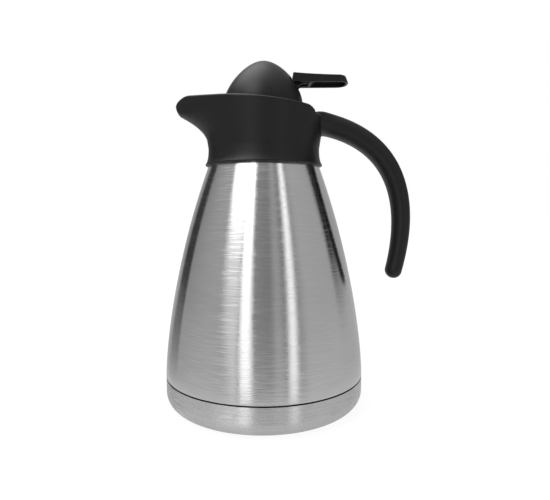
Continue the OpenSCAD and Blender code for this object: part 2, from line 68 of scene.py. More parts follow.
SHOULDER = 5 * MM  # radius of the wall's round shoulder under the collar
NECK = 28.6 * MM  # radius of the steel neck
FOOT_LIP = 8 * MM  # width of the foot's thick outer band
LUG_INNER = 5.8 * MM  # distance of the lugs' inner faces from the middle
RIB_FOOT = 33 * MM  # distance of the rib under the thumb plate from the axis
TIP_ROUND = 7.6 * MM  # corner radius of the thumb plate in plan
TIP_LEAN = 1.9 * MM  # how far the tip's top edge stands behind its lower edge
ROOT_EASE = 7 * MM  # length over which the handle runs into the saddle
ROOT_FILLET = 7.5 * MM  # depth of the hollow round under the handle's root
ROOT_SINK = 2.6 * MM  # how far the handle's top dips at its root
ROOT_SPREAD = 17 * MM  # length over which the handle widens towards the saddle


def length(name, description, default):
    """A size in metres that the sidebar shows as a length."""
    return FloatProperty(name=name, description=description, default=default, min=0,
                         unit="LENGTH", precision=5)


def tint(name, description, default):
    """A colour that the sidebar shows as a swatch."""
    return FloatVectorProperty(name=name, description=description, default=default,
                               size=3, min=0, max=1, subtype="COLOR")


class JugSizes(bpy.types.PropertyGroup):
    """Sizes of the pieces that the jug shows."""
    body_radius: length("Body radius", "Radius of the steel body at the seam", CUP_HIGH.x)
    seam_height: length("Seam height", "Lower edge of the tapered wall", CUP_HIGH.z + 0.75 * MM)
    cup_top: length("Cup top", "Upper edge of the base cup", CUP_HIGH.z)
    wall_top_radius: length("Wall top radius", "Radius of the tapered wall under the collar", 39.2 * MM)
    wall_top_height: length("Wall top height", "Height of the tapered wall under the collar", 172 * MM)
    belly_radius: length("Belly radius", "Radius that the tapered wall is drawn towards", 67 * MM)
    belly_height: length("Belly height", "Height that the tapered wall is drawn towards", 96 * MM)
    steel: length("Steel", "Thickness of the steel walls", 0.8 * MM)
    edge_round: length("Edge round", "Rounding of the steel edges at the seam", 0.22 * MM)
    base_corner: length("Base corner", "Radius of the corner under the base cup", 11 * MM)
    foot_radius: length("Foot radius", "Radius of the foot pad", FOOT_HIGH.x)
    waist_radius: length("Waist radius", "Radius of the collar's waist", 39.5 * MM)
    waist_height: length("Waist height", "Height of the collar's waist", COLLAR_LOW.z + 12 * MM)
    hem_radius: length("Hem radius", "Radius of the collar's lower edge", 41.7 * MM)
    rim_flare: length("Rim flare", "Extra radius of the collar at its rim", 3.8 * MM)
    rim_height: length("Rim height", "Height of the rim at the handle", COLLAR_LOW.z + 37.5 * MM)
    rim_rise: length("Rim rise", "How much higher the rim stands beside the spout", 11 * MM)
    lip_drop: length("Lip drop", "How far the rim drops again at the lip", 5.9 * MM)
    corner_drop: length("Corner drop", "How far the rim rounds down beside the handle", 3.1 * MM)
    spout_reach: length("Spout reach", "Distance of the lip from the axis", 62.5 * MM)
    spout_radius: length("Spout radius", "Radius of the lip in plan", 11 * MM)
    spout_corner: length("Spout corner", "Height of the spout's lower corner", COLLAR_LOW.z + 35 * MM)
    collar_wall: length("Collar wall", "Thickness of the collar's wall", 2.6 * MM)
    trough_height: length("Trough height", "Height of the trough's floor", SLEEVE_HIGH.z - 2 * MM)
    bore_radius: length("Bore radius", "Radius of the opening in the trough's floor", 25.8 * MM)
    seat_distance: length("Seat distance", "Distance of the handle's flat seat from the axis", 34.2 * MM)
    grip_root: length("Grip root", "Thickness of the handle at its root", 16 * MM)
    grip_end: length("Grip end", "Thickness of the handle at its end", 11.6 * MM)
    grip_root_width: length("Grip root width", "Half width of the handle behind its root", 11.5 * MM)
    grip_spread: length("Grip spread", "Extra half width of the handle where it meets the saddle", 9.5 * MM)
    grip_end_width: length("Grip end width", "Half width of the handle at its end", 7.6 * MM)
    dome_wall: length("Dome wall", "Thickness of the dome's wall", 2.2 * MM)
    slot_width: length("Slot width", "Half width of the slot in the dome", 10.7 * MM)
    slot_distance: length("Slot distance", "Distance of the slot's front from the axis", 19.4 * MM)
    plate_width: length("Plate width", "Half width of the thumb plate", LEVER_HIGH.y)
    plate_height: length("Plate height", "Height of the thumb plate's lower edge", DOME_LOW.z + 17 * MM)
    plate_depth: length("Plate depth", "Height of the thumb plate's walls", 4.8 * MM)
    plate_front: length("Plate front", "Distance of the plate's front from the axis", 20.4 * MM)
    plate_wall: length("Plate wall", "Thickness of the thumb plate's walls", 2 * MM)
    around: IntProperty(name="Around", description="Faces round a turned piece", default=192, min=24)


class JugColours(bpy.types.PropertyGroup):
    """Colours of the jug's finishes."""
    steel: tint("Steel", "Brushed outer steel", (0.65, 0.65, 0.65))
    inner: tint("Inner steel", "Drawn steel of the flask", (0.66, 0.66, 0.67))
    plastic: tint("Plastic", "Black moulded plastic", (0.004, 0.004, 0.0043))
    rubber: tint("Rubber", "Black rubber of the foot", (0.02, 0.02, 0.02))
    silicone: tint("Silicone", "Pale seals", (0.7, 0.69, 0.66))
    bright: tint("Bright steel", "Pins, screws, stem and spring", (0.6, 0.6, 0.6))
    floor: tint("Floor", "Pale studio floor", (0.82, 0.82, 0.82))


def sizes():
    """The sizes that the sidebar shows."""
    return bpy.context.scene.jug_sizes


def colours():
    """The colours that the sidebar shows."""
    return bpy.context.scene.jug_colours


# Shader graphs

class Field:
    """One output socket, which takes part in sums as a number does."""

    def __init__(self, graph, socket):
        self.graph = graph
        self.socket = socket

    def _sum(self, operation, first, second):
        made = self.graph.node("ShaderNodeMath", {"operation": operation}, {0: first, 1: second})
        return self.graph.field(made)

    def __add__(self, other):
        return self._sum("ADD", self, other)

    def __sub__(self, other):
        return self._sum("SUBTRACT", self, other)

    def __rsub__(self, other):
        return self._sum("SUBTRACT", other, self)

    def __mul__(self, other):
        return self._sum("MULTIPLY", self, other)

    def __truediv__(self, other):
        return self._sum("DIVIDE", self, other)

    __radd__ = __add__


class Graph:
    """The nodes of one material or world."""

    def __init__(self, owner):
        owner.use_nodes = True
        self.tree = owner.node_tree
        self.tree.nodes.clear()

    def node(self, kind, settings=None, inputs=None):
        """A node of this kind, with its settings made first and then its sockets filled or linked."""
        made = self.tree.nodes.new(kind)
        for name, value in (settings or {}).items():
            if name == "stops":
                self._stops(made.color_ramp, value)
            else:
                setattr(made, name, value)
        for key, value in (inputs or {}).items():
            if isinstance(value, Field):
                self.tree.links.new(value.socket, made.inputs[key])
            else:
                made.inputs[key].default_value = value
        return made

    def _stops(self, ramp, stops):
        while len(ramp.elements) < len(stops):
            ramp.elements.new(1)
        for element, (place, level) in zip(ramp.elements, stops):
            element.position = place
            element.color = (level, level, level, 1)

    def field(self, node, output=0):
        return Field(self, node.outputs[output])

    def place(self):
        """Object coordinates, in metres."""
        return self.field(self.node("ShaderNodeTexCoord"), "Object")

    def stretched(self, vector, scale):
        """The vector with each of its parts scaled."""
        made = self.node("ShaderNodeMapping", inputs={"Vector": vector, "Scale": scale})
        return self.field(made)

    def noise(self, vector, scale, detail=2.0, roughness=0.5):
        made = self.node("ShaderNodeTexNoise", {"noise_dimensions": "3D"},
                         {"Vector": vector, "Scale": scale, "Detail": detail, "Roughness": roughness})
        return self.field(made)

    def step(self, value, low, high):
        """0 below low and 1 above high, with a smooth rise; the other way round if high is below low."""
        made = self.node("ShaderNodeMapRange", {"interpolation_type": "SMOOTHSTEP"},
                         {"Value": value, "From Min": low, "From Max": high})
        return self.field(made)

    def blend(self, share, first, second):
        """A colour that goes from first to second as share goes from 0 to 1."""
        made = self.node("ShaderNodeMix", {"data_type": "RGBA"}, {0: share, 6: first, 7: second})
        return self.field(made, 2)

    def bump(self, height, distance, strength=1.0):
        made = self.node("ShaderNodeBump",
                         inputs={"Height": height, "Distance": distance, "Strength": strength})
        return self.field(made)

    def surface(self, **inputs):
        """The Principled surface of a material, linked to its output."""
        made = self.node("ShaderNodeBsdfPrincipled", inputs=inputs)
        self.node("ShaderNodeOutputMaterial", inputs={"Surface": self.field(made)})
        return made


def opaque(colour):
    """The colour with its alpha."""
    return (*colour, 1.0)


def shade(colour, factor):
    """The colour made darker or lighter, with its alpha."""
    return (*(min(1.0, part * factor) for part in colour), 1.0)


def brushed_steel(name="Brushed steel", soft=0.0):
    """Steel brushed round the axis: long fine scratches that run level, soft patches and painted shade in the
    seam under the wall's edge.
    """
    s = sizes()
    material = bpy.data.materials.new(name)
    graph = Graph(material)
    place = graph.place()
    height = graph.field(graph.node("ShaderNodeSeparateXYZ", inputs={0: place}), 2)
    lines = graph.noise(graph.stretched(place, (60, 60, 1250)), 1.0, 2.0, 0.6)
    fine = graph.noise(graph.stretched(place, (20, 20, 3400)), 1.0, 2.0, 0.6)
    patches = graph.noise(place, 24.0, 2.0)
    colour = colours().steel
    tone = graph.blend(fine * 0.4 + lines * 0.6, shade(colour, 0.86), shade(colour, 1.12))
    # painted shade: the seam's band, under the wall's edge and above the base cup, is painted nearly black for
    # the shade in the gap
    seam = (graph.step(height, s.cup_top - 0.25 * MM, s.cup_top - 0.1 * MM)
            * graph.step(height, s.seam_height + 0.1 * MM, s.seam_height - 0.05 * MM))
    graph.surface(**{
        "Base Color": graph.blend(seam, tone, shade(colour, 0.06)),
        "Metallic": 1.0,
        "Roughness": 0.06 + soft + graph.step(lines, 0.4, 0.68) * 0.12 + fine * 0.04 + patches * 0.02,
        "Anisotropic": 1.0,
        "Anisotropic Rotation": 0.25,
        "Normal": graph.bump(lines + fine * 0.4, 0.07 * MM, 1.0),
    })
    return material


def soft_brushed_steel():
    """The duller brushed steel of the base cup."""
    return brushed_steel("Soft brushed steel", 0.14)


def drawn_steel():
    """Plain drawn steel with a faint mottle and level draw marks."""
    material = bpy.data.materials.new("Drawn steel")
    graph = Graph(material)
    place = graph.place()
    marks = graph.noise(graph.stretched(place, (20, 20, 1200)), 1.0)
    mottle = graph.noise(place, 120.0)
    colour = colours().inner
    graph.surface(**{
        "Base Color": graph.blend(mottle, shade(colour, 0.88), shade(colour, 1.06)),
        "Metallic": 1.0,
        "Roughness": 0.24 + marks * 0.12,
        "Normal": graph.bump(marks, 0.01 * MM, 0.3),
    })
    return material


def moulded_plastic():
    """Black satin moulding: a fine spark-eroded grain and slow changes of sheen."""
    material = bpy.data.materials.new("Moulded plastic")
    graph = Graph(material)
    place = graph.place()
    grain = graph.noise(place, 2600.0, 3.0, 0.6)
    sheen = graph.noise(place, 45.0, 2.0)
    colour = colours().plastic
    graph.surface(**{
        "Base Color": graph.blend(sheen, shade(colour, 0.9), shade(colour, 1.15)),
        "Roughness": 0.37 + grain * 0.07 + sheen * 0.05,
        "Specular IOR Level": 0.35,
        "Normal": graph.bump(grain, 0.05 * MM, 0.22),
    })
    return material


def matt_rubber():
    """Black rubber with a dusty mottle."""
    material = bpy.data.materials.new("Matt rubber")
    graph = Graph(material)
    place = graph.place()
    grain = graph.noise(place, 1800.0, 3.0, 0.6)
    dust = graph.noise(place, 70.0, 4.0, 0.6)
    colour = colours().rubber
    graph.surface(**{
        "Base Color": graph.blend(graph.step(dust, 0.45, 0.75), opaque(colour), shade(colour, 2.2)),
        "Roughness": 0.72 + grain * 0.12,
        "Normal": graph.bump(grain, 0.08 * MM, 0.4),
    })
    return material


def soft_silicone():
    """Pale soft silicone."""
    material = bpy.data.materials.new("Soft silicone")
    graph = Graph(material)
    place = graph.place()
    cloud = graph.noise(place, 160.0, 3.0)
    colour = colours().silicone
    graph.surface(**{
        "Base Color": graph.blend(cloud, shade(colour, 0.92), shade(colour, 1.05)),
        "Roughness": 0.5 + cloud * 0.12,
        "Normal": graph.bump(graph.noise(place, 2400.0), 0.03 * MM, 0.3),
    })
    return material


def bright_steel():
    """Turned steel of the pins, screws and spring."""
    material = bpy.data.materials.new("Bright steel")
    graph = Graph(material)
    place = graph.place()
    turning = graph.noise(graph.stretched(place, (900, 900, 6000)), 1.0)
    colour = colours().bright
    graph.surface(**{
        "Base Color": graph.blend(turning, shade(colour, 0.9), shade(colour, 1.1)),
        "Metallic": 1.0,
        "Roughness": 0.16 + turning * 0.12,
    })
    return material


def finish(name):
    """The material of this name, made once."""
    makers = {
        "Brushed steel": brushed_steel,
        "Soft brushed steel": soft_brushed_steel,
        "Drawn steel": drawn_steel,
        "Moulded plastic": moulded_plastic,
        "Matt rubber": matt_rubber,
        "Soft silicone": soft_silicone,
        "Bright steel": bright_steel,
    }
    return bpy.data.materials.get(name) or makers[name]()


# Modelling

def piece(name, shape, material, body, replaced=(), crease=35):
    """Turns a finished bmesh into an object that rides on a body of the frame."""
    mesh = bpy.data.meshes.new(name)
    shape.to_mesh(mesh)
    shape.free()
    mesh.materials.append(material)
    made = bpy.data.objects.new(name, mesh)
    bpy.context.scene.collection.objects.link(made)
    mesh.shade_smooth()
    mesh.set_sharp_from_angle(angle=radians(crease))
    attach(made, body)
    if replaced:
        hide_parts(*replaced)
    return made


def soften(made, width):
    """Rounds the sharp edges of an object."""
    soft = made.modifiers.new("Soft edges", "BEVEL")
    soft.width = width
    soft.segments = 3
    soft.limit_method = "ANGLE"
    soft.angle_limit = radians(50)
    soft.harden_normals = True


def tidy(shape, gap=1e-6):
    """Closes seams and poles and turns every face outwards."""
    bmesh.ops.remove_doubles(shape, verts=shape.verts, dist=gap)
    bmesh.ops.recalc_face_normals(shape, faces=shape.faces)


def turned(outline, around):
    """A piece turned on the axis from an outline of (radius, height)."""
    shape = bmesh.new()
    points = [shape.verts.new((r, 0, z)) for r, z in outline]
    lines = [shape.edges.new(pair) for pair in zip(points, points[1:])]
    bmesh.ops.spin(shape, geom=points + lines, cent=(0, 0, 0), axis=(0, 0, 1), angle=tau,
                   steps=around, use_merge=True)
    tidy(shape)
    return shape


def wrapped(columns):
    """A skin through columns that hold the same number of points; the last column meets the first."""
    shape = bmesh.new()
    across, along = len(columns) - 1, len(columns[0]) - 1
    bmesh.ops.create_grid(shape, x_segments=across, y_segments=along, size=0.5)
    for vertex in shape.verts:
        column = round((vertex.co.x + 0.5) * across)
        row = round((vertex.co.y + 0.5) * along)
        vertex.co = columns[column][row]
    tidy(shape)
    return shape


def cut_at_seat(shape, **side):
    """Cuts the shape at the handle's flat seat, closes the cut and gives back its edges."""
    everything = shape.verts[:] + shape.edges[:] + shape.faces[:]
    cut = bmesh.ops.bisect_plane(shape, geom=everything, plane_co=(sizes().seat_distance, 0, 0),
                                 plane_no=(1, 0, 0), **side)
    edges = [e for e in cut["geom_cut"] if isinstance(e, bmesh.types.BMEdge)]
    bmesh.ops.holes_fill(shape, edges=edges)
    return edges


def bend(start, first, second, end, count):
    """Points of a cubic curve in the plane."""
    points = interpolate_bezier(*(Vector((*p, 0)) for p in (start, first, second, end)), count)
    return [(p.x, p.y) for p in points]


def corner(centre, radius, start, stop, count):
    """Points of an arc in the plane; the angles are in degrees."""
    angles = [radians(start + (stop - start) * i / (count - 1)) for i in range(count)]
    return [(centre[0] + radius * cos(a), centre[1] + radius * sin(a)) for a in angles]


def steel_wall():
    """The tapered wall, from the seam to its top."""
    s = sizes()
    return bend((s.body_radius, s.seam_height), (s.body_radius + 0.2 * MM, s.seam_height + 11 * MM),
                (s.belly_radius, s.belly_height), (s.wall_top_radius, s.wall_top_height), 90)


class JUG_OT_body(bpy.types.Operator):
    """Builds the brushed steel wall from the seam to the neck"""
    bl_idname = "jug.body"
    bl_label = "Steel body"

    def execute(self, context):
        s = sizes()
        skirt = s.body_radius - s.steel
        wall = steel_wall()
        shoulder = s.wall_top_radius - SHOULDER
        neck = SHELL_HIGH.z
        outline = [
            (skirt, SHELL_LOW.z), (skirt, s.cup_top - 0.2 * MM),
            (s.body_radius - 2.2 * s.edge_round, s.seam_height),
            *corner((s.body_radius - s.edge_round, s.seam_height + s.edge_round), s.edge_round, -90, -5, 5),
            *wall[1:],
            *corner((shoulder, s.wall_top_height), SHOULDER, 12, 90, 9),
            (NECK + 2 * MM, s.wall_top_height + SHOULDER),
            (NECK + 0.6 * MM, s.wall_top_height + SHOULDER + 0.6 * MM),
            (NECK, s.wall_top_height + SHOULDER + 2 * MM),
            (NECK, neck),
        ]
        shape = turned(outline, s.around)
        bmesh.ops.solidify(shape, geom=shape.faces, thickness=s.steel)
        piece("steel_body", shape, finish("Brushed steel"), "vessel", ["outer_shell"])
        return {"FINISHED"}


class JUG_OT_base(bpy.types.Operator):
    """Builds the steel base cup with its rounded corner and the recess for the foot"""
    bl_idname = "jug.base"
    bl_label = "Base cup"

    def execute(self, context):
        s = sizes()
        low = CUP_LOW.z
        recess = s.foot_radius + 0.3 * MM
        centre = (s.body_radius - s.base_corner, low + s.base_corner)
        outline = [
            (0, FOOT_HIGH.z), (recess - 0.6 * MM, FOOT_HIGH.z), (recess, FOOT_HIGH.z - 0.4 * MM),
            (recess, low + 0.4 * MM), (recess + 0.4 * MM, low),
            *corner(centre, s.base_corner, -90, 0, 22),
            (s.body_radius, s.cup_top - s.edge_round),
            *corner((s.body_radius - s.edge_round, s.cup_top - s.edge_round), s.edge_round, 5, 90, 5),
            (s.body_radius - s.steel, s.cup_top),
            (s.body_radius - s.steel, centre[1]),
            *corner(centre, s.base_corner - s.steel, -3, -80, 12),
            (centre[0], low + s.steel + 0.2 * MM),
            (recess + s.steel, FOOT_HIGH.z + s.steel), (0, FOOT_HIGH.z + s.steel),
        ]
        piece("steel_base", turned(outline, s.around), finish("Soft brushed steel"), "vessel",
              ["base_cup"])
        return {"FINISHED"}


class JUG_OT_foot(bpy.types.Operator):
    """Builds the rubber foot with its rounded edge and three grooves"""
    bl_idname = "jug.foot"
    bl_label = "Rubber foot"

    def execute(self, context):
        s = sizes()
        top = FOOT_HIGH.z
        groove = 0.35 * MM
        outline = [(0, 0)]
        for share in (0.35, 0.6, 0.85):
            r = share * s.foot_radius
            outline += [(r - 2 * groove, 0), (r - groove, groove), (r + groove, groove), (r + 2 * groove, 0)]
        outline += [
            (s.foot_radius - 0.4 * MM, 0), (s.foot_radius - 0.1 * MM, 0.12 * MM),
            (s.foot_radius, 0.4 * MM), (s.foot_radius, top), (s.foot_radius - FOOT_LIP, top),
            (s.foot_radius - FOOT_LIP, top - 0.6 * MM), (0, top - 0.6 * MM),
        ]
        piece("rubber_foot", turned(outline, s.around), finish("Matt rubber"), "vessel",
              ["foot_pad"])
        return {"FINISHED"}


def clamp(value, low=0.0, high=1.0):
    """The value, kept between low and high."""
    return max(low, min(high, value))


def plan_radius(a, r, x):
    """Radius of the collar in the direction a, eased where the spout's flank leaves the round."""
    off = abs(a % tau - pi)
    ease = radians(10) * clamp((off - radians(8)) / radians(20))
    if ease == 0:
        return flank_radius(off, r, x)
    return sum(flank_radius(abs(off + ease * i / 3), r, x) for i in range(-3, 4)) / 7


def flank_radius(off, r, x):
    """Radius of the collar at the angle off from the spout; r is its round part and x the lip's distance."""
    s = sizes()
    share = clamp((x - r) / (s.spout_reach - r))
    lip = r + (s.spout_radius - r) * share ** 0.6
    centre = x - lip
    if centre <= r - lip:
        return r
    turn = acos(clamp((r - lip) / centre, -1, 1))
    if off >= turn:
        return r
    if off >= atan2(lip * sin(turn), centre + lip * cos(turn)):
        return r / cos(turn - off)
    return centre * cos(off) + sqrt(max(0, lip ** 2 - (centre * sin(off)) ** 2))


def collar_reach(z):
    """Reach of the spout at the height z."""
    s = sizes()
    h = z - s.waist_height
    full = s.spout_corner - s.waist_height
    near = s.spout_reach - 3 * MM
    if h <= 0:
        return s.waist_radius
    if h < full:
        return s.waist_radius + (near - s.waist_radius) * (h / full) ** 2.3
    return s.spout_reach - 3 * MM * max(0, 1 - (h - full) / (7 * MM)) ** 2


def collar_round(z):
    """Radius of the collar's round part at the height z."""
    s = sizes()
    return s.waist_radius + s.rim_flare * max(0, z - s.waist_height) / (s.rim_height - s.waist_height)


def rim_height(a):
    """Height of the rim in the direction a."""
    s = sizes()
    widest = s.waist_radius + s.rim_flare
    x = plan_radius(a, widest, s.spout_reach) * cos(a)
    towards = (widest - x) / (widest + s.spout_reach)
    past = max(0, -x - (s.spout_reach - s.spout_radius)) / s.spout_radius
    beside = clamp((x - s.seat_distance + 5 * MM) / (6.5 * MM))
    return s.rim_height + s.rim_rise * towards ** 1.5 - s.lip_drop * past ** 2 - s.corner_drop * beside ** 2


def hem_edge():
    """The rounded lower edge of the collar, as (radius, height)."""
    s = sizes()
    hem = COLLAR_LOW.z
    return [(s.hem_radius - 0.6 * MM, hem), (s.hem_radius - 0.2 * MM, hem + 0.15 * MM),
            (s.hem_radius, hem + 0.5 * MM)]


def hem_curve():
    """The sweep from the lower edge up to the waist, as (radius, height)."""
    s = sizes()
    hem = COLLAR_LOW.z
    return bend((s.hem_radius - 0.02 * MM, hem + 0.9 * MM), (s.hem_radius - 1.3 * MM, hem + 2.4 * MM),
                (s.waist_radius, hem + 6 * MM), (s.waist_radius, s.waist_height), 18)


def collar_outline(a):
    """(radius, height) all round the collar's wall in the direction a, from the hem and back to it."""
    s = sizes()
    hem = COLLAR_LOW.z
    half = s.collar_wall / 2
    rim = rim_height(a) - half
    inner = s.waist_radius - s.collar_wall
    ledge = collar_round(s.trough_height - 3 * MM) - s.collar_wall
    outside = hem_curve()
    for i in range(1, 33):
        z = s.waist_height + (rim - s.waist_height) * i / 32
        outside.append((plan_radius(a, collar_round(z), collar_reach(z)), z))
    top = outside[-1][0] - half
    roll = corner((top, rim), half, 20, 160, 8)
    floor = s.trough_height
    inside = []
    for i in range(16, -1, -1):
        z = floor + (rim - floor) * i / 16
        drop = s.collar_wall * (1 - i / 16)
        inside.append((plan_radius(a, collar_round(z), collar_reach(z - drop)) - s.collar_wall, z))
    edge = s.wall_top_radius + 0.3 * MM
    return [(edge, hem), *hem_edge(), *outside, *roll, *inside,
        (ledge - 2.5 * MM, floor), (s.bore_radius + 0.4 * MM, floor), (s.bore_radius, floor - 0.4 * MM),
        (s.bore_radius, floor - 3 * MM), (ledge - 1 * MM, floor - 3 * MM),
        (ledge, floor - 4 * MM), (inner, s.waist_height), (inner, s.wall_top_height + 5 * MM),
        (edge, s.wall_top_height),
        (edge, hem),
    ]


class JUG_OT_collar(bpy.types.Operator):
    """Builds the moulded collar with its pouring spout, rim and trough"""
    bl_idname = "jug.collar"
    bl_label = "Collar"

    def execute(self, context):
        s = sizes()
        columns = []
        for i in range(s.around + 1):
            even = tau * i / s.around
            a = even + 0.6 * sin(even)
            columns.append([(r * cos(a), r * sin(a), z) for r, z in collar_outline(a)])
        shape = wrapped(columns)
        cut_at_seat(shape, clear_outer=True)
        bmesh.ops.recalc_face_normals(shape, faces=shape.faces)
        piece("collar_moulding", shape, finish("Moulded plastic"), "vessel", ["collar"])
        return {"FINISHED"}


def grip_line():
    """Centre line of the handle, as X and Z."""
    s = sizes()
    return bend((s.seat_distance + 0.3 * MM, s.rim_height - 5.6 * MM), (96.4 * MM, s.rim_height - 14.6 * MM),
                (108.2 * MM, 147.7 * MM), (95 * MM, 96 * MM), 70)


def grip_section(centre, along, half_thick, half_wide, fillet=0.0, sink=0.0, around=48):
    """A rounded section of the handle, square to its centre line.

    The fillet deepens its underside, and the sink lowers its top.
    """
    out = Vector((-along.y, along.x))
    ring = []
    for j in range(around + 1):
        a = tau * j / around
        u = abs(cos(a)) ** 0.86 * (1 if cos(a) > 0 else -1) * half_thick
        if u < 0:
            u -= fillet * (u / half_thick) ** 2
        else:
            u -= sink * (u / half_thick)
        w = abs(sin(a)) ** 0.86 * (1 if sin(a) > 0 else -1) * half_wide
        ring.append((centre.x + out.x * u, w, centre.y + out.y * u))
    return ring


class JUG_OT_handle(bpy.types.Operator):
    """Builds the hooked handle and the saddle at its root"""
    bl_idname = "jug.handle"
    bl_label = "Handle"

    def execute(self, context):
        s = sizes()
        line = [Vector(p) for p in grip_line()]
        last = len(line) - 1
        rings = []
        for i, centre in enumerate(line):
            along = (line[min(i + 1, last)] - line[max(i - 1, 0)]).normalized()
            share = i / last
            thick = (s.grip_root * (1 - share) + s.grip_end * share) / 2
            spread = clamp(1 - (centre.x - s.seat_distance) / ROOT_SPREAD) ** 2
            wide = s.grip_root_width * (1 - share) + s.grip_end_width * share + s.grip_spread * spread
            near = clamp(1 - (centre.x - s.waist_radius + 0.6 * MM) / ROOT_EASE)
            fillet = ROOT_FILLET * (1 - sqrt(1 - near ** 2))
            sink = ROOT_SINK * clamp(1 - (centre.x - s.seat_distance) / ROOT_EASE) ** 1.5
            rings.append(grip_section(centre, along, thick, wide, fillet, sink))
        along = (line[-1] - line[-2]).normalized()
        for angle in (12, 25, 38, 50, 62, 72, 81, 90):
            squeeze = max(cos(radians(angle)), 1e-4)
            centre = line[-1] + along * s.grip_end / 2 * sin(radians(angle))
            rings.append(grip_section(centre, along, s.grip_end / 2 * squeeze, s.grip_end_width * squeeze))
        shape = wrapped([list(column) for column in zip(*rings)])
        bmesh.ops.holes_fill(shape, edges=[e for e in shape.edges if e.is_boundary])
        saddle = self.saddle(s)
        mesh = bpy.data.meshes.new("saddle")
        saddle.to_mesh(mesh)
        saddle.free()
        shape.from_mesh(mesh)
        bpy.data.meshes.remove(mesh)
        piece("handle_moulding", shape, finish("Moulded plastic"), "vessel", ["handle"])
        return {"FINISHED"}

    def saddle(self, s):
        """The round of the collar behind the flat seat, which the handle grows from."""
        hem = COLLAR_LOW.z
        columns = []
        for i in range(s.around + 1):
            a = tau * i / s.around
            rim = rim_height(a) - 0.4 * MM if cos(a) > 0.7 else s.rim_height - 2 * MM
            wide = collar_round(rim)
            outside = [(0, hem), *hem_edge(), *hem_curve()]
            for j in range(1, 13):
                z = s.waist_height + (rim - 2 * MM - s.waist_height) * j / 12
                outside.append((collar_round(z), z))
            outside += corner((wide - 2 * MM, rim - 2 * MM), 2 * MM, 15, 90, 6)
            outside.append((0, rim))
            columns.append([(r * cos(a), r * sin(a), z) for r, z in outside])
        shape = wrapped(columns)
        edge = [e for e in cut_at_seat(shape, clear_inner=True) if e.is_valid]
        bmesh.ops.bevel(shape, geom=edge, offset=0.3 * MM, segments=2, profile=0.5, affect="EDGES",
                        material=-1)
        bmesh.ops.recalc_face_normals(shape, faces=shape.faces)
        return shape


class JUG_OT_dome(bpy.types.Operator):
    """Builds the domed cap of the stopper with its slot and lugs"""
    bl_idname = "jug.dome"
    bl_label = "Dome"

    def execute(self, context):
        s = sizes()
        foot, top = DOME_LOW.z, DOME_HIGH.z
        height = top - foot
        outer = DOME_HIGH.y
        outline = bend((0, top), (12.2 * MM, top), (outer + 0.9 * MM, top - 0.6 * height), (outer, foot), 48)
        shape = turned(outline, s.around)
        for place, normal in (((s.slot_distance, 0, 0), (1, 0, 0)), ((0, s.slot_width, 0), (0, 1, 0)),
                              ((0, -s.slot_width, 0), (0, 1, 0))):
            bmesh.ops.bisect_plane(shape, geom=shape.verts[:] + shape.edges[:] + shape.faces[:],
                                   plane_co=place, plane_no=normal)
        inside = [f for f in shape.faces if f.calc_center_median().x > s.slot_distance
                  and abs(f.calc_center_median().y) < s.slot_width]
        bmesh.ops.delete(shape, geom=inside, context="FACES")
        bmesh.ops.recalc_face_normals(shape, faces=shape.faces)
        bmesh.ops.solidify(shape, geom=shape.faces, thickness=s.dome_wall)
        made = piece("dome_moulding", shape, finish("Moulded plastic"), "stopper",
                     ["dome_cap"])
        soften(made, 0.45 * MM)
        lugs = self.lugs(s)
        piece("dome_lugs", lugs, finish("Moulded plastic"), "stopper")
        return {"FINISHED"}

    def lugs(self, s):
        """The two lugs inside the dome that hold the lever's pin."""
        shape = bmesh.new()
        pin = (PIN_LOW + PIN_HIGH) / 2
        for side in (-1, 1):
            block = bmesh.ops.create_cube(shape, size=1)["verts"]
            bmesh.ops.scale(shape, vec=(8.4 * MM, s.slot_width - LUG_INNER - 0.4 * MM, 8 * MM), verts=block)
            middle = side * (s.slot_width + LUG_INNER - 0.4 * MM) / 2
            bmesh.ops.translate(shape, vec=(pin.x, middle, pin.z + 0.4 * MM), verts=block)
        bmesh.ops.bevel(shape, geom=shape.edges[:], offset=0.5 * MM, segments=3, profile=0.5,
                        affect="EDGES", material=-1)
        return shape


def plate_share(x):
    """0 at the thumb plate's front and 1 at its tip."""
    s = sizes()
    return clamp((x - s.plate_front) / (LEVER_HIGH.x - s.plate_front))


def plate_top(x):
    """Height of the thumb plate's top at the distance x from the axis."""
    s = sizes()
    left = 1 - plate_share(x)
    return s.plate_height + s.plate_depth + 1.3 * MM * left ** 2.4 - 0.2 * MM * (1 - left)


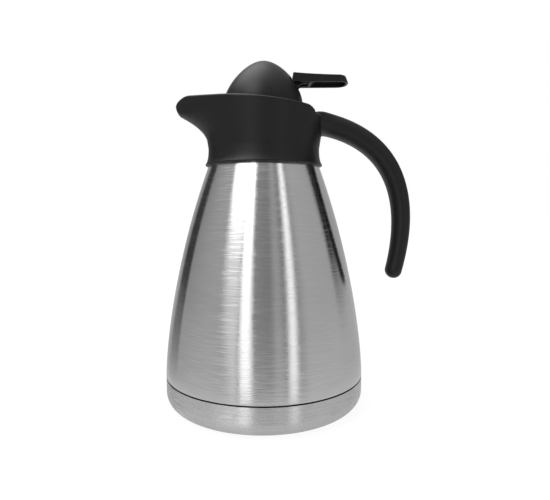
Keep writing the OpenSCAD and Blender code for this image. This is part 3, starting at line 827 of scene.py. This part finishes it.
class JUG_OT_lever(bpy.types.Operator):
    """Builds the thumb lever: its hollow plate and the cheeks that go into the dome"""
    bl_idname = "jug.lever"
    bl_label = "Thumb lever"

    def execute(self, context):
        s = sizes()
        plastic = finish("Moulded plastic")
        made = piece("lever_plate", self.plate(s), plastic, "thumb_lever", ["lever"],
                     crease=40)
        soften(made, 0.5 * MM)
        made = piece("lever_arm", self.arm(s), plastic, "thumb_lever", crease=40)
        soften(made, 0.3 * MM)
        return {"FINISHED"}

    def plate(self, s):
        """The plate, hollow underneath, with a tip that leans out towards its lower edge."""
        shape = bmesh.new()
        wide = s.plate_width
        tip = LEVER_HIGH.x
        half = [(s.plate_front, 0), (s.plate_front, wide * 0.5), (s.plate_front, wide)]
        half += [(s.plate_front + (tip - TIP_ROUND - s.plate_front) * i / 16, wide) for i in range(1, 16)]
        half += corner((tip - TIP_ROUND, wide - TIP_ROUND), TIP_ROUND, 90, 0, 12)
        outline = half + [(x, -y) for x, y in reversed(half[1:])]
        base = shape.faces.new([shape.verts.new((x, y, 0)) for x, y in outline])
        raised = bmesh.ops.extrude_face_region(shape, geom=[base])
        top = [v for v in raised["geom"] if isinstance(v, bmesh.types.BMVert)]
        for vertex in shape.verts:
            share = plate_share(vertex.co.x)
            if vertex in top:
                vertex.co.z = plate_top(vertex.co.x)
                vertex.co.x -= TIP_LEAN * share ** 6
            else:
                vertex.co.z = s.plate_height - 0.5 * MM * (1 - share)
        bmesh.ops.recalc_face_normals(shape, faces=shape.faces)
        hollow = min(shape.faces, key=lambda f: f.calc_center_median().z)
        bmesh.ops.inset_region(shape, faces=[hollow], thickness=s.plate_wall, depth=0,
                               use_even_offset=True)
        inner = bmesh.ops.extrude_face_region(shape, geom=[hollow])
        bmesh.ops.delete(shape, geom=[hollow], context="FACES_ONLY")
        raised = [v for v in inner["geom"] if isinstance(v, bmesh.types.BMVert)]
        bmesh.ops.translate(shape, verts=raised, vec=(0, 0, s.plate_depth - 1.6 * MM))
        bmesh.ops.recalc_face_normals(shape, faces=shape.faces)
        return shape

    def arm(self, s):
        """Two cheeks from the plate to the pin, the web that presses the valve's button and a slanting rib."""
        pin = (PIN_LOW + PIN_HIGH) / 2
        low = s.plate_height
        shared = [
            (s.plate_front + 0.6 * MM, low + 3 * MM), (s.plate_front + 0.6 * MM, pin.z + 2.8 * MM),
            (pin.x, pin.z + 2.8 * MM), (6.4 * MM, pin.z + 0.8 * MM), (-1.1 * MM, pin.z + 0.8 * MM),
            (-1.1 * MM, pin.z - 1.4 * MM),
        ]
        cheek = [
            *shared, (2 * MM, pin.z - 2.3 * MM), (pin.x - 3 * MM, pin.z - 3 * MM),
            (pin.x + 2 * MM, pin.z - 3 * MM), (s.plate_front + 3 * MM, low - 3.3 * MM),
            (s.plate_front + 6.4 * MM, low - 0.9 * MM), (RIB_FOOT, low - 0.5 * MM),
            (RIB_FOOT + 4 * MM, low + 3 * MM),
        ]
        web = [
            *shared, (4 * MM, pin.z - 1.2 * MM), (pin.x, pin.z + 1 * MM),
            (s.plate_front + 2.2 * MM, pin.z + 1 * MM), (s.plate_front + 2.8 * MM, low + 3 * MM),
        ]
        rib = [(RIB_FOOT - 1.4 * MM, low - 0.4 * MM), (RIB_FOOT, low - 0.4 * MM),
               (RIB_FOOT + 4 * MM, low + 3 * MM), (RIB_FOOT + 2.6 * MM, low + 3 * MM)]
        shape = bmesh.new()
        across = s.plate_width - 0.8 * s.plate_wall
        for outline, near, far in ((cheek, -5.4 * MM, -3.7 * MM), (cheek, 3.7 * MM, 5.4 * MM),
                                   (web, -4 * MM, 4 * MM), (rib, -across, across)):
            side = shape.faces.new([shape.verts.new((x, near, z)) for x, z in outline])
            raised = bmesh.ops.extrude_face_region(shape, geom=[side])
            moved = [v for v in raised["geom"] if isinstance(v, bmesh.types.BMVert)]
            bmesh.ops.translate(shape, verts=moved, vec=(0, far - near, 0))
        bmesh.ops.recalc_face_normals(shape, faces=shape.faces)
        return shape


FINISHES = {
    "vessel_bottom": "Drawn steel", "sealing_button": "Drawn steel", "inner_flask": "Drawn steel",
    "neck_gasket": "Soft silicone", "seal_ring": "Soft silicone", "valve_seal": "Soft silicone",
    "neck_sleeve": "Moulded plastic", "stopper_body": "Moulded plastic", "stem_guide": "Moulded plastic",
    "valve_disc": "Moulded plastic", "stem_button": "Moulded plastic",
    "handle_screws": "Bright steel", "lever_pin": "Bright steel", "valve_stem": "Bright steel",
    "valve_spring": "Bright steel",
}


class JUG_OT_fittings(bpy.types.Operator):
    """Gives the frame's own fittings their finishes"""
    bl_idname = "jug.fittings"
    bl_label = "Fittings"

    def execute(self, context):
        for node, name in FINISHES.items():
            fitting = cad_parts[node]
            fitting.data.materials.clear()
            fitting.data.materials.append(finish(name))
        return {"FINISHED"}


# Fitted camera: focal length in mm, place, and degrees that it looks down and to the right
LENS = 31.45
EYE = (0, -0.3501, 0.1373)
LOOK_DOWN, LOOK_RIGHT = 4.3, 1.3
# Level of the walls of the studio, by degrees round from the camera's side
WALLS = ((-180, 0.6), (-160, 0.42), (-146, 0.34), (-108, 0.36), (-88, 0.42), (-66, 0.46), (-48, 0.44),
         (-28, 0.36), (-10, 0.31), (5, 0.26), (14, 0.28), (24, 0.27), (42, 0.35), (52, 0.51), (94, 0.49),
         (130, 0.43), (152, 0.44), (162, 0.5), (172, 0.8), (180, 1.0))
# Strip lights: degrees from and to, softness of each edge, brightness, lean of each edge with the height,
# extra share of the brightness near the top
STRIPS = (
    (-27.5, -14.5, 1, 1, 1.3, -6, -6, 0.9),
    (-44, -31, 13, 1.5, 0.42, -28, -4, 2.0),
    (28, 37.5, 2, 2, 1.05, 6, 6, 0.2),
    (11, 22, 5, 3, 0.15, 0, 0, 0),
)
# Dark flags: degrees from and to, softness of each edge, share of the light that they take, and the heights
# where they begin and where they are full
FLAGS = (
    (-140, -115.5, 11, 6, 0.85, -0.3, -0.1),
    (102, 122, 5, 7, 0.96, -0.05, 0.24),
)
# Level that the walls reach near the floor and near the ceiling, with the heights of the change
NEAR_FLOOR = (-0.24, -0.36, 0.68)
NEAR_CEILING = (0.72, 0.92, 0.75)
# Round soft boxes: direction, angle of the full part, angle of the edge, brightness
SOFT_BOXES = (
    ((-0.47, -0.44, 0.77), 10, 21, 2.6),
    ((-0.33, 0.22, 0.92), 12, 32, 2.6),
)


def studio_world():
    """Walls, strip lights and flags round the jug, and the soft boxes above it."""
    world = bpy.data.worlds.new("Studio")
    graph = Graph(world)
    direction = graph.field(graph.node("ShaderNodeTexCoord"), "Generated")
    parts = graph.node("ShaderNodeSeparateXYZ", inputs={0: direction})
    x, y, z = (graph.field(parts, i) for i in range(3))
    turn = graph.field(graph.node("ShaderNodeMath", {"operation": "ARCTAN2"}, {0: x, 1: y * -1})) * (360 / tau)

    def between(low, high, soft_low, soft_high, lean_low=0, lean_high=0):
        return (graph.step(turn - z * lean_low, low - soft_low / 2, low + soft_low / 2)
                * graph.step(turn - z * lean_high, high + soft_high / 2, high - soft_high / 2))

    walls = graph.node("ShaderNodeValToRGB", {"stops": [((a + 180) / 360, level) for a, level in WALLS]},
                       {0: turn / 360 + 0.5})
    light = graph.field(walls)
    top = graph.step(z, 0.2, 0.7)
    for *edges, level, lean_low, lean_high, extra in STRIPS:
        light = between(*edges, lean_low, lean_high) * (top * extra + 1) * level + light
    for *edges, depth, foot, full in FLAGS:
        light = light * (1 - between(*edges) * graph.step(z, foot, full) * depth)
    for begins, full, level in (NEAR_FLOOR, NEAR_CEILING):
        share = graph.step(z, begins, full)
        light = light * (1 - share) + share * level
    for aim, inner, outer, level in SOFT_BOXES:
        nearness = graph.field(graph.node("ShaderNodeVectorMath", {"operation": "DOT_PRODUCT"},
                                          {0: direction, 1: Vector(aim).normalized()}), "Value")
        light = graph.step(nearness, cos(radians(outer)), cos(radians(inner))) * level + light
    camera = graph.field(graph.node("ShaderNodeLightPath"), "Is Camera Ray")
    strength = light * (1 - camera) + camera
    back = graph.node("ShaderNodeBackground", inputs={"Color": (1, 1, 1, 1), "Strength": strength})
    graph.node("ShaderNodeOutputWorld", inputs={"Surface": graph.field(back)})
    return world


def floor_finish():
    """Pale floor that the camera sees as white, apart from the jug's soft shadow."""
    material = bpy.data.materials.new("Studio floor")
    graph = Graph(material)
    mottle = graph.noise(graph.place(), 30.0)
    colour = colours().floor
    matt = graph.node("ShaderNodeBsdfDiffuse", inputs={
        "Color": graph.blend(mottle, shade(colour, 0.99), shade(colour, 1.01))})
    camera = graph.field(graph.node("ShaderNodeLightPath"), "Is Camera Ray")
    glow = graph.node("ShaderNodeEmission", inputs={"Color": (1, 1, 1, 1), "Strength": 1.0})
    mixed = graph.node("ShaderNodeMixShader", inputs={
        0: camera * 0.86, 1: graph.field(matt), 2: graph.field(glow)})
    both = graph.node("ShaderNodeAddShader", inputs={0: graph.field(mixed), 1: graph.field(
        graph.node("ShaderNodeEmission", inputs={"Color": (1, 1, 1, 1), "Strength": camera * 0.06}))})
    glossy = graph.field(graph.node("ShaderNodeLightPath"), "Is Glossy Ray")
    clear = graph.node("ShaderNodeMixShader", inputs={
        0: glossy * 0.85, 1: graph.field(both), 2: graph.field(graph.node("ShaderNodeBsdfTransparent"))})
    graph.node("ShaderNodeOutputMaterial", inputs={"Surface": graph.field(clear)})
    return material


class JUG_OT_stage(bpy.types.Operator):
    """Sets up the floor, the studio light and the camera"""
    bl_idname = "jug.stage"
    bl_label = "Stage"

    def execute(self, context):
        scene = context.scene
        shape = bmesh.new()
        bmesh.ops.create_grid(shape, x_segments=1, y_segments=1, size=4)
        mesh = bpy.data.meshes.new("floor")
        shape.to_mesh(mesh)
        shape.free()
        mesh.materials.append(floor_finish())
        floor = bpy.data.objects.new("floor", mesh)
        scene.collection.objects.link(floor)
        scene.world = studio_world()
        camera = bpy.data.cameras.new("Camera")
        camera.sensor_width = 36
        camera.lens = LENS
        eye = bpy.data.objects.new("Camera", camera)
        eye.location = EYE
        eye.rotation_euler = (radians(90 - LOOK_DOWN), 0, radians(-LOOK_RIGHT))
        scene.collection.objects.link(eye)
        scene.camera = eye
        scene.view_settings.view_transform = "Standard"
        return {"FINISHED"}


OPERATORS = (JUG_OT_body, JUG_OT_base, JUG_OT_foot, JUG_OT_collar, JUG_OT_handle, JUG_OT_dome,
             JUG_OT_lever, JUG_OT_fittings, JUG_OT_stage)


class JUG_PT_panel(bpy.types.Panel):
    """Lists the jug's pieces and its sizes"""
    bl_idname = "JUG_PT_panel"
    bl_label = "Insulated jug"
    bl_space_type = "VIEW_3D"
    bl_region_type = "UI"
    bl_category = "Jug"

    def draw(self, context):
        for operator in OPERATORS:
            self.layout.operator(operator.bl_idname)
        for group in (context.scene.jug_sizes, context.scene.jug_colours):
            for name in group.__annotations__:
                self.layout.prop(group, name)


CLASSES = (JugSizes, JugColours, *OPERATORS, JUG_PT_panel)


def register():
    for one in CLASSES:
        bpy.utils.register_class(one)
    bpy.types.Scene.jug_sizes = PointerProperty(type=JugSizes)
    bpy.types.Scene.jug_colours = PointerProperty(type=JugColours)


def unregister():
    del bpy.types.Scene.jug_colours
    del bpy.types.Scene.jug_sizes
    for one in reversed(CLASSES):
        bpy.utils.unregister_class(one)


def main():
    register()
    bpy.ops.jug.body()
    bpy.ops.jug.base()
    bpy.ops.jug.foot()
    bpy.ops.jug.collar()
    bpy.ops.jug.handle()
    bpy.ops.jug.dome()
    bpy.ops.jug.lever()
    bpy.ops.jug.fittings()
    bpy.ops.jug.stage()


if __name__ == "__main__":
    main()
